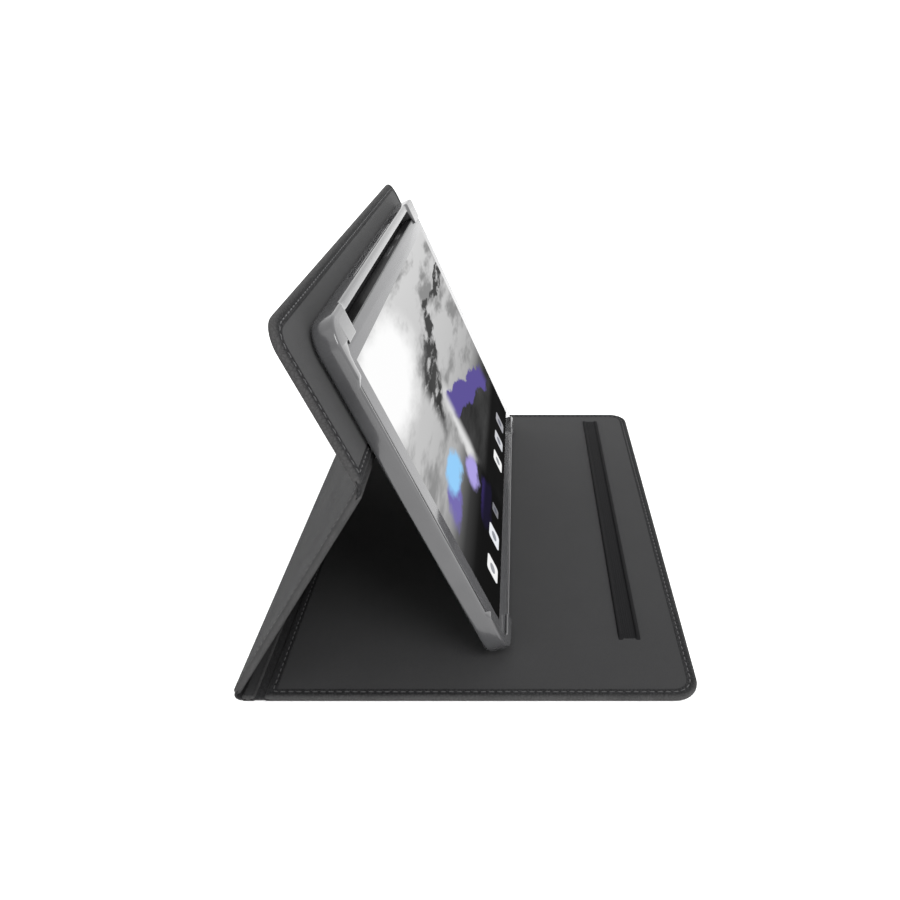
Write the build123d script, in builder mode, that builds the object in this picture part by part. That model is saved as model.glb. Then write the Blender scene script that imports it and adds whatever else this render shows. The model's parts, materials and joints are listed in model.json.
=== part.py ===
"""Folio stand case with a tablet in its tray, standing in its viewing position.

Millimetres. +Z is up, +Y runs along the creases, and +X runs from the spine to the cover's free edge.
The origin is on the table, under the middle of the cover and spine.

The case is a chain of four stiff panels joined by soft creases: cover, spine, leg and back panel.
Each panel is drawn in a chain plane: local X runs along the chain, away from the cover's free edge,
local Y is the row's Y, and local Z points to the leather side, so the lining is on the -Z side.
"""

from build123d import *
from math import cos, radians, sin
import os

# ---- the case, laid flat and folded ----
CASE_DEPTH = 300.0  # along the creases
BASE_WIDTH = 215.0  # spine and cover together, lying on the table
SPINE_PITCH = 12.5  # from crease to crease across the spine
LEG_PITCH = 131.9  # from the spine's crease to the back panel's crease
PANEL_LENGTH = 73.0  # from that crease to the back panel's free edge
LEG_ANGLE = 58.0  # the leg above the table
PANEL_ANGLE = 112.5  # the back panel above the table: it leans back by 22.5 degrees
FREE_CORNER = 12.0  # corner radius of the cover's and back panel's free corners

# ---- the laminate ----
LEATHER = 0.9
BOARD = 2.0
LINING = 0.7
LAMINATE = LEATHER + BOARD + LINING
RIM = 1.0  # leather outside the board's edge
HEM = 5.0  # leather turned in over the board, round the lining
CREASE_THICKNESS = 1.4
COVER_CREASE = 4.0  # the soft gaps between neighbouring panels
SPINE_CREASE = 8.0
PANEL_CREASE = 5.0

# ---- the grip strips that the tray's lower edge stands in ----
STRIP_WIDTH = 11.0
STRIP_NEAR_MARGIN = 38.0
STRIP_FAR_MARGIN = 12.0
STRIP_LENGTH = CASE_DEPTH - STRIP_NEAR_MARGIN - STRIP_FAR_MARGIN
STRIP_MIDDLE = (STRIP_NEAR_MARGIN - STRIP_FAR_MARGIN) / 2
INNER_STRIP = 119.4  # centre lines, from the base's spine edge
OUTER_STRIP = 186.6
RIB_WIDTH = 2.2
RIB_HEIGHT = 1.0
RIB_ROUND = 0.6

# ---- the tray ----
TRAY_LENGTH = 262.0
TRAY_HEIGHT = 181.0
TRAY_WALL = 2.2
TRAY_BACK = 1.2
TRAY_CORNER = 12.0
TRAY_EDGE = 2.0  # round on the edge between back and walls
TRAY_NEAR_MARGIN = 22.0  # from the case's near edge
TRAY_DROP = 120.5  # the tray's lower edge, below the back panel's crease
LIP_THICKNESS = 1.2
LIP_REACH = 3.4
CLIP_LENGTH = 27.0
UPPER_CLIP_DEPTH = 8.0  # extra thickness of the upper wall at its two corner clips
UPPER_WALL = 4.5  # the upper wall between them: an open gap is left above the tablet
KEY_SLOT = (70.0, 215.0)  # cut-out in the upper wall, along the tray
KEY_SLOT_DEPTH = (3.2, 7.4)  # and above the tray's back
CONNECTOR_SLOT = 38.0
THUMB_NOTCH = 15.0
CAMERA_WINDOW = 7.0  # radius of the window through tray, pad and back panel
CAMERA_BELOW_TOP = 20.5
PAD_THICKNESS = 0.9
PAD_SIDE_MARGIN = 12.0
PAD_CORNER = 4.0

# ---- the tablet ----
TABLET_LENGTH = 257.0
TABLET_HEIGHT = 168.0
TABLET_THICKNESS = 7.8
TABLET_EDGE = 1.8  # round on the edge between back and sides
TABLET_GAP = 0.3  # to the tray's lower and near walls and its upper clips
TABLET_LIFT = 0.15  # to the tray's back, and from the glass to the lips
TABLET_BACK = 1.0
TABLET_SIDE = 2.0
GLASS = 0.8
GLASS_INSET = 0.8
DISPLAY = (236.0, 147.0, 1.6)
BATTERY = (150.0, 96.0, 3.4)
LOGIC_BOARD = (52.0, 120.0, 1.2)
SPEAKER = (34.0, 12.0, 3.2)
CONNECTOR = (26.0, 5.0, 2.8)
LENS_RADIUS = 4.0
LENS_LENGTH = 3.6
POWER_KEY = (190.0, 12.0)  # centre along the tablet, and length
VOLUME_KEY = (155.0, 24.0)
KEY_WIDTH = 2.4
KEY_PROUD = 0.15
KEY_GAP = 0.15
KEY_FLANGE = 0.8
TABLET_CORNER = TRAY_CORNER - TRAY_WALL - TABLET_GAP
PAST_END = TRAY_LENGTH + 5  # cuts through the tray's open far end run to here
GAP_CUT = 2 * UPPER_CLIP_DEPTH

HALF_DEPTH = CASE_DEPTH / 2
HALF_LAMINATE = LAMINATE / 2
SPINE_EDGE = -BASE_WIDTH / 2


def along(angle, distance):
    """The X and Z steps of a run at an angle above the table."""
    return distance * cos(radians(angle)), distance * sin(radians(angle))


def chain_plane(x, z, angle):
    """The plane of a panel whose crease passes through (x, z) and that runs on at an angle."""
    run_x, run_z = along(angle, 1)
    return Plane(origin=(x, 0, z), x_dir=(run_x, 0, run_z), z_dir=(-run_z, 0, run_x))


# the leg's lower outer corner is the leftmost point, and stands level with the spine edge
leg_foot = along(LEG_ANGLE, SPINE_CREASE / 2)[0] - along(LEG_ANGLE, HALF_LAMINATE)[1]
spine_axis = (SPINE_EDGE - leg_foot, HALF_LAMINATE)
cover_axis = (spine_axis[0] + SPINE_PITCH, HALF_LAMINATE)
leg_run = along(LEG_ANGLE, LEG_PITCH)
panel_axis = (spine_axis[0] + leg_run[0], spine_axis[1] + leg_run[1])

cover_plane = chain_plane(*cover_axis, 180)
leg_plane = chain_plane(*spine_axis, LEG_ANGLE)
panel_plane = chain_plane(*panel_axis, PANEL_ANGLE)

os.makedirs("parts", exist_ok=True)


def finish(piece, label):
    """Name a finished piece and write it."""
    piece.part.label = label
    export_step(piece.part, f"parts/{label}.step")


# ---------------------------------------------------------------- laminated panels


def panel_outline(start, end, inset, corner):
    """One panel seen flat, drawn in by inset. corner rounds the two corners of its free end."""
    with BuildSketch() as flat:
        with Locations(((start + end) / 2, 0)):
            Rectangle(end - start - 2 * inset, CASE_DEPTH - 2 * inset)
        if corner:
            free_end = flat.vertices().group_by(Axis.X)[0 if abs(start) > abs(end) else -1]
            fillet(free_end, corner - inset)
    return flat.sketch


def window_cutter(plane, low, high):
    """The round camera window through the back panel, from low to high in its own Z."""
    with BuildPart() as cutter:
        with BuildSketch(plane.offset(low)):
            with Locations((camera_on_panel, camera_y)):
                Circle(CAMERA_WINDOW)
        extrude(amount=high - low)
    return cutter.part


def laminated_panel(name, plane, start, end, corner=0.0, window=False, strips=()):
    """Leather skin with its hem turned in, stiffener board, and lining inside the hem."""
    lining_face, board_face = -HALF_LAMINATE, -HALF_LAMINATE + LINING

    with BuildPart() as leather:
        with BuildSketch(plane.offset(lining_face)):
            add(panel_outline(start, end, 0, corner))
        extrude(amount=LAMINATE)
        with BuildSketch(plane.offset(board_face)):
            add(panel_outline(start, end, RIM, corner))
        extrude(amount=BOARD, mode=Mode.SUBTRACT)
        with BuildSketch(plane.offset(lining_face)):
            add(panel_outline(start, end, panel_hem(start, end), corner))
        extrude(amount=LINING, mode=Mode.SUBTRACT)
        if window:
            add(window_cutter(plane, lining_face, HALF_LAMINATE), mode=Mode.SUBTRACT)
    finish(leather, f"{name}_leather")

    with BuildPart() as board:
        with BuildSketch(plane.offset(board_face)):
            add(panel_outline(start, end, RIM, corner))
        extrude(amount=BOARD)
        if window:
            add(window_cutter(plane, lining_face, HALF_LAMINATE), mode=Mode.SUBTRACT)
    finish(board, f"{name}_board")

    with BuildPart() as lining:
        with BuildSketch(plane.offset(lining_face)):
            add(panel_outline(start, end, panel_hem(start, end), corner))
            for strip in strips:
                add(strip_outline(strip), mode=Mode.SUBTRACT)
        extrude(amount=LINING)
        if window:
            add(window_cutter(plane, lining_face, HALF_LAMINATE), mode=Mode.SUBTRACT)
    finish(lining, f"{name}_lining")


def panel_hem(start, end):
    """The spine is too narrow for a full hem."""
    return min(HEM, (end - start) / 4)


def strip_outline(centre):
    """A grip strip seen flat, in the cover's chain plane. centre is measured from the spine edge."""
    with BuildSketch() as flat:
        with Locations((strip_local_x(centre), STRIP_MIDDLE)):
            Rectangle(STRIP_WIDTH, STRIP_LENGTH)
    return flat.sketch


def strip_local_x(centre):
    """A place on the base, given from the spine edge, in the cover's chain plane."""
    return cover_axis[0] - (SPINE_EDGE + centre)


# ---------------------------------------------------------------- the tray's plane

out_x, out_z = sin(radians(PANEL_ANGLE)), -cos(radians(PANEL_ANGLE))  # towards the screen side
up_x, up_z = along(PANEL_ANGLE, 1)
tray_back_offset = HALF_LAMINATE + PAD_THICKNESS
tray_near = -HALF_DEPTH + TRAY_NEAR_MARGIN
tray_plane = Plane(
    origin=(
        panel_axis[0] + out_x * tray_back_offset - up_x * TRAY_DROP,
        tray_near,
        panel_axis[1] + out_z * tray_back_offset - up_z * TRAY_DROP,
    ),
    x_dir=(0, 1, 0),
    z_dir=(out_x, 0, out_z),
)
camera_x, camera_y_tray = TRAY_LENGTH / 2, TRAY_HEIGHT - CAMERA_BELOW_TOP
camera_y = tray_near + camera_x
camera_on_panel = camera_y_tray - TRAY_DROP

# ---------------------------------------------------------------- the four panels

laminated_panel(
    "cover",
    cover_plane,
    cover_axis[0] - BASE_WIDTH / 2,
    -COVER_CREASE / 2,
    corner=FREE_CORNER,
    strips=(INNER_STRIP, OUTER_STRIP),
)
laminated_panel("spine", cover_plane, COVER_CREASE / 2, SPINE_PITCH - SPINE_CREASE / 2)
laminated_panel("leg", leg_plane, SPINE_CREASE / 2, LEG_PITCH - PANEL_CREASE / 2)
laminated_panel(
    "panel", panel_plane, PANEL_CREASE / 2, PANEL_LENGTH, corner=FREE_CORNER, window=True
)


# ---------------------------------------------------------------- creases


def bent_crease(label, axis, angle_in, angle_out, gap):
    """The soft strip between two panels: an arc that leaves each panel along its own middle."""
    in_x, in_z = along(angle_in, gap / 2)
    next_x, next_z = along(angle_out, gap / 2)
    with BuildPart() as crease:
        with BuildSketch(Plane.XZ):
            with BuildLine():
                TangentArc(
                    (axis[0] - in_x, axis[1] - in_z),
                    (axis[0] + next_x, axis[1] + next_z),
                    tangent=(in_x, in_z),
                )
            trace(line_width=CREASE_THICKNESS)
        extrude(amount=HALF_DEPTH, both=True)
    finish(crease, label)


bent_crease("spine_crease", spine_axis, 180, LEG_ANGLE, SPINE_CREASE)
bent_crease("panel_crease", panel_axis, LEG_ANGLE, PANEL_ANGLE, PANEL_CREASE)

with BuildPart() as cover_crease:
    with BuildSketch(cover_plane.offset(-CREASE_THICKNESS / 2)):
        Rectangle(COVER_CREASE, CASE_DEPTH)
    extrude(amount=CREASE_THICKNESS)
finish(cover_crease, "cover_crease")


# ---------------------------------------------------------------- grip strips and their ribs

for name, centre in (("inner", INNER_STRIP), ("outer", OUTER_STRIP)):
    with BuildPart() as strip:
        with BuildSketch(cover_plane.offset(-HALF_LAMINATE)):
            add(strip_outline(centre))
        extrude(amount=LINING)
    finish(strip, f"{name}_grip_strip")

    rib_offset = (STRIP_WIDTH - RIB_WIDTH) / 2
    with BuildPart() as ribs:
        with BuildSketch(Plane.XZ.offset(-STRIP_MIDDLE)):
            for side in (-rib_offset, rib_offset):
                with Locations((SPINE_EDGE + centre + side, LAMINATE + RIB_HEIGHT / 2)):
                    Rectangle(RIB_WIDTH, RIB_HEIGHT)
        extrude(amount=STRIP_LENGTH / 2, both=True)
        fillet(ribs.edges().filter_by(Axis.Y).group_by(Axis.Z)[-1], RIB_ROUND)
    finish(ribs, f"{name}_stop_ribs")


# ---------------------------------------------------------------- tray and pad


def pocket_outline(inset):
    """The tablet's pocket seen from the front, inset from the tray's outline and open at the far end."""
    height = TRAY_HEIGHT - UPPER_CLIP_DEPTH
    with BuildSketch() as flat:
        with Locations((TRAY_LENGTH / 2, height / 2)):
            RectangleRounded(TRAY_LENGTH - 2 * inset, height - 2 * inset, TRAY_CORNER - inset)
        with Locations(((TRAY_LENGTH / 2 + PAST_END) / 2, height / 2)):
            Rectangle(PAST_END - TRAY_LENGTH / 2, height - 2 * inset)
    return flat.sketch


lip_floor = TRAY_BACK + TABLET_THICKNESS + 2 * TABLET_LIFT

with BuildPart() as tray:
    with BuildSketch(tray_plane):
        with Locations((TRAY_LENGTH / 2, TRAY_HEIGHT / 2)):
            RectangleRounded(TRAY_LENGTH, TRAY_HEIGHT, TRAY_CORNER)
    extrude(amount=lip_floor + LIP_THICKNESS)
    back_rim = tray.faces().sort_by(Axis(tray_plane.origin, tray_plane.z_dir))[0].edges()
    fillet(back_rim, TRAY_EDGE)
    with BuildSketch(tray_plane.offset(TRAY_BACK)):
        add(pocket_outline(TRAY_WALL))
        with Locations((TRAY_LENGTH / 2, TRAY_HEIGHT - UPPER_WALL - GAP_CUT / 2)):
            Rectangle(TRAY_LENGTH - 2 * CLIP_LENGTH, GAP_CUT)
    extrude(amount=lip_floor - TRAY_BACK, mode=Mode.SUBTRACT)
    # above the glass only the four corner clips stay
    with BuildSketch(tray_plane.offset(lip_floor)):
        add(pocket_outline(TRAY_WALL + LIP_REACH))
        with Locations((TRAY_LENGTH / 2, TRAY_HEIGHT / 2)):
            Rectangle(TRAY_LENGTH - 2 * CLIP_LENGTH, TRAY_HEIGHT + 2)
            Rectangle(TRAY_LENGTH + 2, TRAY_HEIGHT - 2 * CLIP_LENGTH)
    extrude(amount=LIP_THICKNESS, mode=Mode.SUBTRACT)
    # cut-outs: keys in the upper wall, connector in the lower wall, thumb notch, camera window
    with BuildSketch(tray_plane.offset(KEY_SLOT_DEPTH[0])):
        with Locations((sum(KEY_SLOT) / 2, TRAY_HEIGHT - UPPER_WALL / 2)):
            Rectangle(KEY_SLOT[1] - KEY_SLOT[0], UPPER_WALL + 1)
        with Locations((TRAY_LENGTH / 2, TRAY_WALL / 2)):
            Rectangle(CONNECTOR_SLOT, TRAY_WALL + 1)
    extrude(amount=KEY_SLOT_DEPTH[1] - KEY_SLOT_DEPTH[0], mode=Mode.SUBTRACT)
    with BuildSketch(tray_plane.offset(-1)):
        with Locations((TRAY_LENGTH, TRAY_HEIGHT / 2)):
            Circle(THUMB_NOTCH)
        with Locations((camera_x, camera_y_tray)):
            Circle(CAMERA_WINDOW)
    extrude(amount=TRAY_BACK + 2, mode=Mode.SUBTRACT)
finish(tray, "tray_shell")

pad_low = PANEL_CREASE / 2 + 3
pad_high = TRAY_HEIGHT - TRAY_DROP - 6

with BuildPart() as pad:
    with BuildSketch(panel_plane.offset(-HALF_LAMINATE - PAD_THICKNESS)):
        with Locations(((pad_low + pad_high) / 2, tray_near + TRAY_LENGTH / 2)):
            RectangleRounded(pad_high - pad_low, TRAY_LENGTH - 2 * PAD_SIDE_MARGIN, PAD_CORNER)
        with Locations((camera_on_panel, camera_y)):
            Circle(CAMERA_WINDOW, mode=Mode.SUBTRACT)
    extrude(amount=PAD_THICKNESS)
finish(pad, "tray_pad")


# ---------------------------------------------------------------- tablet

tablet_plane = Plane(
    origin=tray_plane.from_local_coords(
        (TRAY_WALL + TABLET_GAP, TRAY_WALL + TABLET_GAP, TRAY_BACK + TABLET_LIFT)
    ),
    x_dir=(0, 1, 0),
    z_dir=(out_x, 0, out_z),
)
glass_floor = TABLET_THICKNESS - GLASS
middle = (TABLET_LENGTH / 2, TABLET_HEIGHT / 2)
camera_on_tablet = (
    camera_x - TRAY_WALL - TABLET_GAP,
    camera_y_tray - TRAY_WALL - TABLET_GAP,
)
keys = {"power_key": POWER_KEY, "volume_key": VOLUME_KEY}
key_level = sum(KEY_SLOT_DEPTH) / 2 - TRAY_BACK - TABLET_LIFT


def tablet_outline(inset):
    """The tablet seen from the front, drawn in by inset."""
    with BuildSketch() as flat:
        with Locations(middle):
            RectangleRounded(
                TABLET_LENGTH - 2 * inset,
                TABLET_HEIGHT - 2 * inset,
                max(TABLET_CORNER - inset, 1),
            )
    return flat.sketch


with BuildPart() as housing:
    with BuildSketch(tablet_plane):
        add(tablet_outline(0))
    extrude(amount=TABLET_THICKNESS)
    back_face = housing.faces().sort_by(Axis(tablet_plane.origin, tablet_plane.z_dir))[0]
    fillet(back_face.edges(), TABLET_EDGE)
    with BuildSketch(tablet_plane.offset(glass_floor)):
        add(tablet_outline(GLASS_INSET))
    extrude(amount=GLASS, mode=Mode.SUBTRACT)
    with BuildSketch(tablet_plane.offset(TABLET_BACK)):
        add(tablet_outline(TABLET_SIDE))
    extrude(amount=glass_floor - TABLET_BACK, mode=Mode.SUBTRACT)
    with BuildSketch(tablet_plane):
        with Locations(camera_on_tablet):
            Circle(LENS_RADIUS)
    extrude(amount=TABLET_BACK, mode=Mode.SUBTRACT)
    with BuildSketch(tablet_plane.offset(key_level - KEY_WIDTH / 2 - KEY_GAP)):
        for centre, length in keys.values():
            with Locations((centre, TABLET_HEIGHT - TABLET_SIDE / 2)):
                Rectangle(length + 2 * KEY_GAP, TABLET_SIDE + 1)
    extrude(amount=KEY_WIDTH + 2 * KEY_GAP, mode=Mode.SUBTRACT)
    with BuildSketch(tablet_plane.offset(key_level - CONNECTOR[2] / 2)):
        with Locations((middle[0], 0)):
            Rectangle(CONNECTOR[0], 2 * TABLET_SIDE)
    extrude(amount=CONNECTOR[2], mode=Mode.SUBTRACT)
finish(housing, "tablet_housing")

with BuildPart() as glass:
    with BuildSketch(tablet_plane.offset(glass_floor)):
        add(tablet_outline(GLASS_INSET))
    extrude(amount=GLASS)
finish(glass, "tablet_glass")


def tablet_block(label, centre, size, floor):
    """A plain inner module of the tablet, standing on floor above the tablet's back."""
    with BuildPart() as block:
        with BuildSketch(tablet_plane.offset(floor)):
            with Locations(*centre):
                Rectangle(size[0], size[1])
        extrude(amount=size[2])
    finish(block, label)


tablet_block("tablet_display", [middle], DISPLAY, glass_floor - DISPLAY[2])
tablet_block("tablet_battery", [(middle[0] - 40, middle[1])], BATTERY, TABLET_BACK)
tablet_block("tablet_logic_board", [(middle[0] + 75, middle[1])], LOGIC_BOARD, TABLET_BACK)
tablet_block(
    "tablet_speakers",
    [(middle[0] - 92, 12), (middle[0] + 92, 12)],
    SPEAKER,
    TABLET_BACK,
)
tablet_block(
    "tablet_connector",
    [(middle[0], CONNECTOR[1] / 2)],
    CONNECTOR,
    key_level - CONNECTOR[2] / 2,
)

with BuildPart() as lens:
    with BuildSketch(tablet_plane):
        with Locations(camera_on_tablet):
            Circle(LENS_RADIUS)
    extrude(amount=LENS_LENGTH)
finish(lens, "tablet_camera")

for label, (centre, length) in keys.items():
    with BuildPart() as key:
        with BuildSketch(tablet_plane.offset(key_level - KEY_WIDTH / 2)):
            stem = TABLET_SIDE + KEY_PROUD
            with Locations((centre, TABLET_HEIGHT + KEY_PROUD - stem / 2)):
                Rectangle(length, stem)
            flange_top = TABLET_HEIGHT - TABLET_SIDE
            with Locations((centre, flange_top - KEY_FLANGE / 2)):
                Rectangle(length + 2, KEY_FLANGE)
        extrude(amount=KEY_WIDTH)
    finish(key, label)
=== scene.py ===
"""The looks of a folio stand case with a tablet in its tray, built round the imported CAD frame.

The row frame is in metres with Z up. Flat pieces are drawn in local millimetres: a and b lie in the
piece, and c stands on it. A panel's a runs along the chain, away from the cover's free edge, and its c
points to the leather side. The tray's and tablet's a runs along +Y, b up the screen, c to the viewer.
"""

import json
import math

import bmesh
import bpy
import numpy as np
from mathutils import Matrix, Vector, noise


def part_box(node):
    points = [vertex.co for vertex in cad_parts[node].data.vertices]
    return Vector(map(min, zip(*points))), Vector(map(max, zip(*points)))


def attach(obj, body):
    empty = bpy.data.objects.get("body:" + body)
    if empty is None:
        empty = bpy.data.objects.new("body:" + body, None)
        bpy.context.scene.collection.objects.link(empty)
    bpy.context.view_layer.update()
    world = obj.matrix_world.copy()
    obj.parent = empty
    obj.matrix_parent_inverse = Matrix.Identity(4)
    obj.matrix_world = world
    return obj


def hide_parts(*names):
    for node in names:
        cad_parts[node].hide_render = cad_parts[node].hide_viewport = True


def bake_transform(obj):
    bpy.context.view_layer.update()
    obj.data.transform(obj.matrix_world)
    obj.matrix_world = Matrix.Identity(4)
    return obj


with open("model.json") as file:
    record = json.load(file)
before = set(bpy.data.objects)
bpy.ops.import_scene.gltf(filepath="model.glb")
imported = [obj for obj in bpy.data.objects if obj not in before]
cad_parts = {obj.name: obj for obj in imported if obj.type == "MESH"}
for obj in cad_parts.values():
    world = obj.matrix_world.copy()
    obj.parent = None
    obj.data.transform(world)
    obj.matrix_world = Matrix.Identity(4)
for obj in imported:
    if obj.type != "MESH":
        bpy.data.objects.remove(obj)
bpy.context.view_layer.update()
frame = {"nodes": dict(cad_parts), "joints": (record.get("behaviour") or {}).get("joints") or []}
joints = {j["name"]: j for j in frame["joints"]}

MM = 0.001
Y_AXIS = (0.0, 1.0, 0.0)

# ---- the laminate, mm ----
ROLL = 1.5  # radius of the leather's rolled edge
STITCH_IN = 3.3  # stitch line, from the panel's edge
GROOVE_DEPTH = 0.3  # of the pressed line that the stitches lie in
HEM_EDGE = 5.0  # where the turned-in leather ends
UNDER_LINING = 1.3  # level of the board under the lining, from the middle
LINING_LEVEL = 1.62
LINING_TUCK = 4.75  # the lining's edge, from the panel's edge
THREAD = 0.26  # radius
STITCH_LENGTH = 2.9
STITCH_PITCH = 3.7
WEAR_AND_SHEEN_REACH = 1.7  # how far in from an edge the leather is lightened, by rubbing and by a painted edge highlight
CREASE_HALF = 0.72  # half thickness in a crease
CREASE_TUCK = 2.2  # how far a crease reaches into its panels
SHOULDER_HALF = 1.1  # half thickness where it enters a panel
COVER_GAP = 4.0  # the creases' widths
SPINE_GAP = 8.0
PANEL_GAP = 5.0
PANEL_CORNER = 12.0
CREASE_CORNER = 1.2  # of a panel, beside a crease

# ---- the grip strips, mm ----
RIB_WIDTH = 2.2
GROOVES_START = 2.6
GRIP_PITCH = 1.16
GRIP_DEPTH = 0.12

# ---- the tray, mm ----
TRAY_CORNER = 12.0
TRAY_WALL = 2.2
TRAY_BACK = 1.2
TRAY_OPEN_END = 5.2  # the walls stop this far from the far short side
BACK_ROUND = 2.0  # outer edge at the back
RIM_ROUND = 1.3  # outer edge at the front
TIP_ROUND = 0.6  # a lip's inner edge
END_ROUND = 1.2  # the walls' far ends
LIP_REACH = 3.4
LIP_THICKNESS = 1.2
CLIP_LENGTH = 27.0
CLIP_FADE = 2.0
UPPER_CLIP_DEPTH = 8.0  # extra thickness of the upper wall at its two corner clips
UPPER_WALL = 4.5  # the upper wall between them, with an open gap below it
KEY_SLOT = (70.0, 215.0)  # opening in the upper wall, along the tray
PLUG_SLOT_HALF = 19.0  # half length of the one in the lower wall
SLOT_LEVELS = (3.2, 7.4)  # both openings, from the tray's back
SLOT_ROUND = 1.4
PLATE_INSET = 2.05
PLATE_CORNER = 10.0
PLATE_ROUND = 0.45
THUMB_NOTCH = 15.0  # radius
CAMERA_BELOW_TOP = 20.5
CAMERA_WINDOW = 7.0  # radius
CUTTER_REACH = (-2.0, 4.0)  # a cutter's levels through the back plate
PANEL_CUTTER_REACH = (-12.0, 12.0)  # and through the back panel and foam
CUTTER_SEAM = 0.01  # keeps a round cutter's corners apart
PAD_CORNER = 4.0
PAD_ROUND = 0.4
PAD_SQUEEZE = 0.02

# ---- the studio, metres ----
CAMERA_PLACE = (0.0233, -0.4102, 0.2714)
CAMERA_DOWN = 28.2  # degrees below level
CAMERA_LENS = 31.07
CAMERA_SENSOR = 36.0
CAMERA_SHIFT = -0.0761
FLOOR_HALF = 6.0
FLOOR_LEVEL = -0.0002
SKY = 1.4  # strength of the white surroundings


# ---------------------------------------------------------------- local frames


class Flat:
    """A local frame: a, b and c in millimetres, from an origin in metres."""

    def __init__(self, origin, a_dir, b_dir):
        self.origin = np.array(origin, float)
        self.a_dir = np.array(a_dir, float)
        self.b_dir = np.array(b_dir, float)
        self.c_dir = np.cross(self.a_dir, self.b_dir)

    def place(self, a, b, c):
        a, b, c = np.broadcast_arrays(a, b, c)
        spread = np.stack([a.ravel(), b.ravel(), c.ravel()], 1).astype(float)
        return self.origin + MM * spread @ np.stack([self.a_dir, self.b_dir, self.c_dir])

    def extent(self, node):
        """Lowest and highest local corner of a CAD node, in millimetres."""
        co = np.array([v.co for v in frame["nodes"][node].data.vertices], float)
        local = (co - self.origin) @ np.stack([self.a_dir, self.b_dir, self.c_dir]).T / MM
        return local.min(0), local.max(0)

    def moved_to(self, corner):
        """The same frame with its origin at a local corner."""
        return Flat(self.place(*corner)[0], self.a_dir, self.b_dir)


cover_axis = Vector(joints["cover_fold"]["pos_m"])
spine_axis = Vector(joints["stand_fold"]["pos_m"])
panel_axis = Vector(joints["panel_fold"]["pos_m"])
leg_dir = (panel_axis - spine_axis).normalized()
screen_up = -Vector(joints["power_press"]["axis"])

cover_flat = Flat(cover_axis, (-1, 0, 0), Y_AXIS)
leg_flat = Flat(spine_axis, leg_dir, Y_AXIS)
panel_flat = Flat(panel_axis, screen_up, Y_AXIS)
upright = Flat((0, 0, 0), Y_AXIS, screen_up)
tray_flat = upright.moved_to(upright.extent("tray_shell")[0])
tablet_flat = upright.moved_to(upright.extent("tablet_housing")[0])
tray_length, tray_height, tray_depth = tray_flat.extent("tray_shell")[1]


# ---------------------------------------------------------------- materials


class Shader:
    """A node material with a few short ways to add nodes."""

    def __init__(self, name, **values):
        self.material = bpy.data.materials.new(name)
        self.material.use_nodes = True
        self.tree = self.material.node_tree
        self.tree.nodes.clear()
        self.surface = self.add("ShaderNodeBsdfPrincipled", values)
        out = self.add("ShaderNodeOutputMaterial")
        self.tree.links.new(self.surface.outputs[0], out.inputs["Surface"])
        self.coords = self.add("ShaderNodeTexCoord").outputs["Object"]

    def add(self, kind, values=None, **attributes):
        node = self.tree.nodes.new(kind)
        for key, value in attributes.items():
            setattr(node, key, value)
        for key, value in (values or {}).items():
            self.put(node.inputs[key], value)
        return node

    def put(self, socket, value):
        if isinstance(value, bpy.types.NodeSocket):
            self.tree.links.new(value, socket)
        else:
            socket.default_value = value

    def math(self, operation, first, second=0.0, third=0.0):
        values = {0: first, 1: second}
        if operation == "MULTIPLY_ADD":
            values[2] = third
        return self.add("ShaderNodeMath", values, operation=operation).outputs[0]

    def noise(self, scale, detail=3.0, roughness=0.5, coords=None):
        values = {"Vector": coords or self.coords, "Scale": scale, "Detail": detail}
        values["Roughness"] = roughness
        return self.add("ShaderNodeTexNoise", values).outputs["Fac"]

    def cells(self, scale, feature, coords=None):
        values = {"Vector": coords or self.coords, "Scale": scale}
        return self.add("ShaderNodeTexVoronoi", values, feature=feature).outputs["Distance"]

    def stretched(self, scale):
        values = {"Vector": self.coords, "Scale": scale}
        return self.add("ShaderNodeMapping", values).outputs[0]

    def ramp(self, value, stops):
        """stops: (position, colour or grey level)."""
        node = self.add("ShaderNodeValToRGB", {"Fac": value})
        points = node.color_ramp.elements
        while len(points) < len(stops):
            points.new(0.5)
        for point, (position, colour) in zip(points, stops):
            point.position = position
            point.color = shade(colour)
        return node.outputs["Color"]

    def mix(self, factor, first, second):
        node = self.add("ShaderNodeMix", data_type="RGBA")
        self.put(node.inputs[0], factor)
        self.put(node.inputs[6], first if isinstance(first, bpy.types.NodeSocket) else shade(first))
        self.put(node.inputs[7], second if isinstance(second, bpy.types.NodeSocket) else shade(second))
        return node.outputs[2]

    def bump(self, height, distance, strength=1.0, normal=None):
        values = {"Height": height, "Distance": distance, "Strength": strength}
        if normal:
            values["Normal"] = normal
        return self.add("ShaderNodeBump", values).outputs[0]

    def set(self, **values):
        for key, value in values.items():
            self.put(self.surface.inputs[key.replace("_", " ")], value)


def shade(colour):
    """A grey level or a colour as four numbers."""
    if isinstance(colour, (int, float)):
        colour = (colour,) * 3
    return (*colour, 1.0)


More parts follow.
